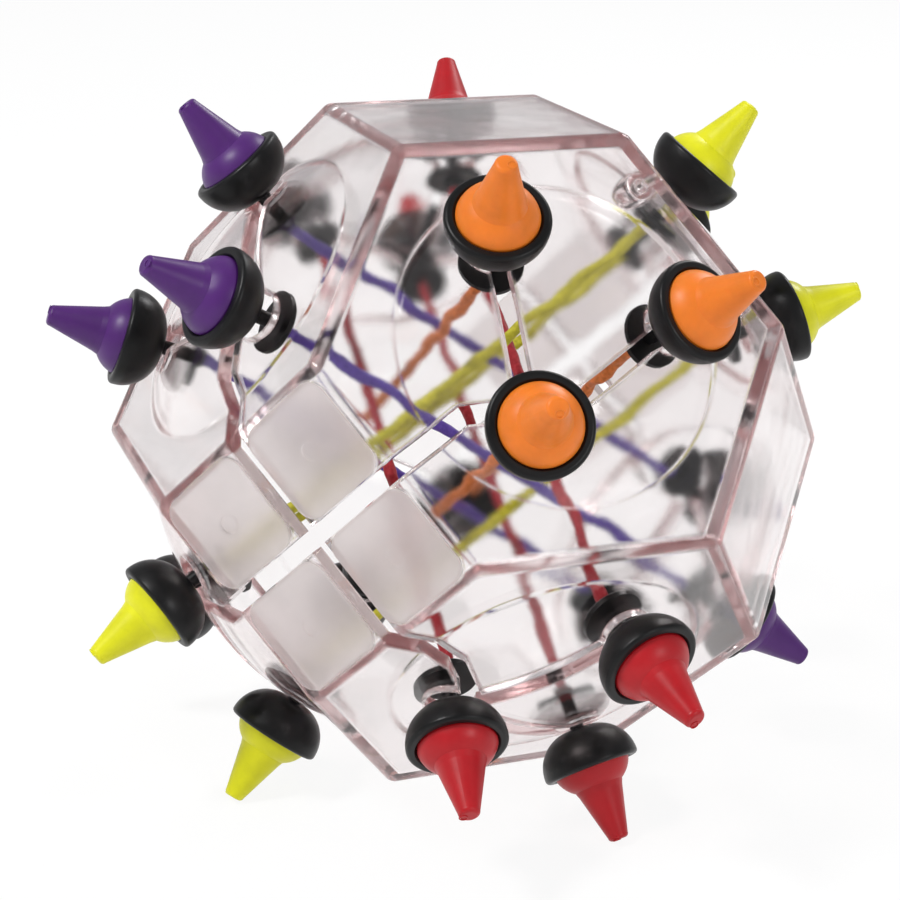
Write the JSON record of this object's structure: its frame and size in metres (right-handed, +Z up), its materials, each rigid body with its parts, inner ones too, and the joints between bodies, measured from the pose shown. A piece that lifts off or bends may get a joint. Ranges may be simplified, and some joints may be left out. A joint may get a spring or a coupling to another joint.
{
  "type": "string-untangling puzzle ball",
  "caption": "Clear faceted hollow ball with domed, slotted windows; pins with coloured grips slide in the slots and pull elastic strings that cross the inside.",
  "frame": {"origin": "centre of the faceted body, where its square faces' axes meet", "axes": "+Z up through a plain square face; -Y through the front slotted square face; +X right through a plain square face"},
  "size_m": [0.0926, 0.0916, 0.0926],
  "materials": {
    "clear_shell": "clear polished, frosted on the pads",
    "pin_black": "satin",
    "grip_orange": "satin",
    "string_orange": "braided elastic",
    "grip_red": "satin",
    "string_red": "braided elastic",
    "grip_yellow": "satin",
    "string_yellow": "braided elastic",
    "grip_purple": "satin",
    "string_purple": "braided elastic"
  },
  "bodies": {
    "body": {"shell_front": "clear_shell", "shell_back": "clear_shell", "strings_orange": "string_orange", "strings_red": "string_red", "strings_yellow": "string_yellow", "strings_purple": "string_purple"},
    "pin_orange_front_a": {"pin_base_orange_front_a": "pin_black", "pin_grip_orange_front_a": "grip_orange"},
    "pin_orange_front_b": {"pin_base_orange_front_b": "pin_black", "pin_grip_orange_front_b": "grip_orange"},
    "pin_orange_front_c": {"pin_base_orange_front_c": "pin_black", "pin_grip_orange_front_c": "grip_orange"},
    "pin_orange_back_a": {"pin_base_orange_back_a": "pin_black", "pin_grip_orange_back_a": "grip_orange"},
    "pin_orange_back_b": {"pin_base_orange_back_b": "pin_black", "pin_grip_orange_back_b": "grip_orange"},
    "pin_orange_back_c": {"pin_base_orange_back_c": "pin_black", "pin_grip_orange_back_c": "grip_orange"},
    "pin_red_front_a": {"pin_base_red_front_a": "pin_black", "pin_grip_red_front_a": "grip_red"},
    "pin_red_front_b": {"pin_base_red_front_b": "pin_black", "pin_grip_red_front_b": "grip_red"},
    "pin_red_front_c": {"pin_base_red_front_c": "pin_black", "pin_grip_red_front_c": "grip_red"},
    "pin_red_back_a": {"pin_base_red_back_a": "pin_black", "pin_grip_red_back_a": "grip_red"},
    "pin_red_back_b": {"pin_base_red_back_b": "pin_black", "pin_grip_red_back_b": "grip_red"},
    "pin_red_back_c": {"pin_base_red_back_c": "pin_black", "pin_grip_red_back_c": "grip_red"},
    "pin_yellow_front_a": {"pin_base_yellow_front_a": "pin_black", "pin_grip_yellow_front_a": "grip_yellow"},
    "pin_yellow_front_b": {"pin_base_yellow_front_b": "pin_black", "pin_grip_yellow_front_b": "grip_yellow"},
    "pin_yellow_front_c": {"pin_base_yellow_front_c": "pin_black", "pin_grip_yellow_front_c": "grip_yellow"},
    "pin_yellow_back_a": {"pin_base_yellow_back_a": "pin_black", "pin_grip_yellow_back_a": "grip_yellow"},
    "pin_yellow_back_b": {"pin_base_yellow_back_b": "pin_black", "pin_grip_yellow_back_b": "grip_yellow"},
    "pin_yellow_back_c": {"pin_base_yellow_back_c": "pin_black", "pin_grip_yellow_back_c": "grip_yellow"},
    "pin_purple_front_a": {"pin_base_purple_front_a": "pin_black", "pin_grip_purple_front_a": "grip_purple"},
    "pin_purple_front_b": {"pin_base_purple_front_b": "pin_black", "pin_grip_purple_front_b": "grip_purple"},
    "pin_purple_front_c": {"pin_base_purple_front_c": "pin_black", "pin_grip_purple_front_c": "grip_purple"},
    "pin_purple_back_a": {"pin_base_purple_back_a": "pin_black", "pin_grip_purple_back_a": "grip_purple"},
    "pin_purple_back_b": {"pin_base_purple_back_b": "pin_black", "pin_grip_purple_back_b": "grip_purple"},
    "pin_purple_back_c": {"pin_base_purple_back_c": "pin_black", "pin_grip_purple_back_c": "grip_purple"}
  },
  "joints": [
    {"name": "travel_orange_front_a", "type": "hinge", "parent": "body", "child": "pin_orange_front_a", "pos_m": [0, 0, 0], "axis": [0.7935, 0.6008, 0.0964], "range_deg": [0, 7.5], "deforming": ["strings_orange"]},
    {"name": "travel_orange_front_b", "type": "hinge", "parent": "body", "child": "pin_orange_front_b", "pos_m": [0, 0, 0], "axis": [0.6008, 0.0964, -0.7935], "range_deg": [0, 13], "deforming": ["strings_orange"]},
    {"name": "travel_orange_front_c", "type": "hinge", "parent": "body", "child": "pin_orange_front_c", "pos_m": [0, 0, 0], "axis": [-0.7935, -0.6008, -0.0964], "range_deg": [0, 7], "deforming": ["strings_orange"]},
    {"name": "travel_orange_back_a", "type": "hinge", "parent": "body", "child": "pin_orange_back_a", "pos_m": [0, 0, 0], "axis": [-0.0964, -0.6008, -0.7935], "range_deg": [0, 7.5], "deforming": ["strings_orange"]},
    {"name": "travel_orange_back_b", "type": "hinge", "parent": "body", "child": "pin_orange_back_b", "pos_m": [0, 0, 0], "axis": [0.7935, -0.0964, -0.6008], "range_deg": [0, 13], "deforming": ["strings_orange"]},
    {"name": "travel_orange_back_c", "type": "hinge", "parent": "body", "child": "pin_orange_back_c", "pos_m": [0, 0, 0], "axis": [0.0964, 0.6008, 0.7935], "range_deg": [0, 7], "deforming": ["strings_orange"]},
    {"name": "travel_red_front_a", "type": "hinge", "parent": "body", "child": "pin_red_front_a", "pos_m": [0, 0, 0], "axis": [0.0964, 0.6008, -0.7935], "range_deg": [0, 7.5], "deforming": ["strings_red"]},
    {"name": "travel_red_front_b", "type": "hinge", "parent": "body", "child": "pin_red_front_b", "pos_m": [0, 0, 0], "axis": [-0.7935, 0.0964, -0.6008], "range_deg": [0, 13], "deforming": ["strings_red"]},
    {"name": "travel_red_front_c", "type": "hinge", "parent": "body", "child": "pin_red_front_c", "pos_m": [0, 0, 0], "axis": [-0.0964, -0.6008, 0.7935], "range_deg": [0, 7], "deforming": ["strings_red"]},
    {"name": "travel_red_back_a", "type": "hinge", "parent": "body", "child": "pin_red_back_a", "pos_m": [0, 0, 0], "axis": [-0.7935, -0.6008, 0.0964], "range_deg": [0, 7.5], "deforming": ["strings_red"]},
    {"name": "travel_red_back_b", "type": "hinge", "parent": "body", "child": "pin_red_back_b", "pos_m": [0, 0, 0], "axis": [-0.6008, -0.0964, -0.7935], "range_deg": [0, 13], "deforming": ["strings_red"]},
    {"name": "travel_red_back_c", "type": "hinge", "parent": "body", "child": "pin_red_back_c", "pos_m": [0, 0, 0], "axis": [0.7935, 0.6008, -0.0964], "range_deg": [0, 7], "deforming": ["strings_red"]},
    {"name": "travel_yellow_front_a", "type": "hinge", "parent": "body", "child": "pin_yellow_front_a", "pos_m": [0, 0, 0], "axis": [-0.7935, 0.6008, -0.0964], "range_deg": [0, 7.5], "deforming": ["strings_yellow"]},
    {"name": "travel_yellow_front_b", "type": "hinge", "parent": "body", "child": "pin_yellow_front_b", "pos_m": [0, 0, 0], "axis": [-0.6008, 0.0964, 0.7935], "range_deg": [0, 13], "deforming": ["strings_yellow"]},
    {"name": "travel_yellow_front_c", "type": "hinge", "parent": "body", "child": "pin_yellow_front_c", "pos_m": [0, 0, 0], "axis": [0.7935, -0.6008, 0.0964], "range_deg": [0, 7], "deforming": ["strings_yellow"]},
    {"name": "travel_yellow_back_a", "type": "hinge", "parent": "body", "child": "pin_yellow_back_a", "pos_m": [0, 0, 0], "axis": [0.0964, -0.6008, 0.7935], "range_deg": [0, 7.5], "deforming": ["strings_yellow"]},
    {"name": "travel_yellow_back_b", "type": "hinge", "parent": "body", "child": "pin_yellow_back_b", "pos_m": [0, 0, 0], "axis": [-0.7935, -0.0964, 0.6008], "range_deg": [0, 13], "deforming": ["strings_yellow"]},
    {"name": "travel_yellow_back_c", "type": "hinge", "parent": "body", "child": "pin_yellow_back_c", "pos_m": [0, 0, 0], "axis": [-0.0964, 0.6008, -0.7935], "range_deg": [0, 7], "deforming": ["strings_yellow"]},
    {"name": "travel_purple_front_a", "type": "hinge", "parent": "body", "child": "pin_purple_front_a", "pos_m": [0, 0, 0], "axis": [-0.0964, 0.6008, 0.7935], "range_deg": [0, 7.5], "deforming": ["strings_purple"]},
    {"name": "travel_purple_front_b", "type": "hinge", "parent": "body", "child": "pin_purple_front_b", "pos_m": [0, 0, 0], "axis": [0.7935, 0.0964, 0.6008], "range_deg": [0, 13], "deforming": ["strings_purple"]},
    {"name": "travel_purple_front_c", "type": "hinge", "parent": "body", "child": "pin_purple_front_c", "pos_m": [0, 0, 0], "axis": [0.0964, -0.6008, -0.7935], "range_deg": [0, 7], "deforming": ["strings_purple"]},
    {"name": "travel_purple_back_a", "type": "hinge", "parent": "body", "child": "pin_purple_back_a", "pos_m": [0, 0, 0], "axis": [0.7935, -0.6008, -0.0964], "range_deg": [0, 7.5], "deforming": ["strings_purple"]},
    {"name": "travel_purple_back_b", "type": "hinge", "parent": "body", "child": "pin_purple_back_b", "pos_m": [0, 0, 0], "axis": [0.6008, -0.0964, 0.7935], "range_deg": [0, 13], "deforming": ["strings_purple"]},
    {"name": "travel_purple_back_c", "type": "hinge", "parent": "body", "child": "pin_purple_back_c", "pos_m": [0, 0, 0], "axis": [-0.7935, 0.6008, 0.0964], "range_deg": [0, 7], "deforming": ["strings_purple"]}
  ]
}
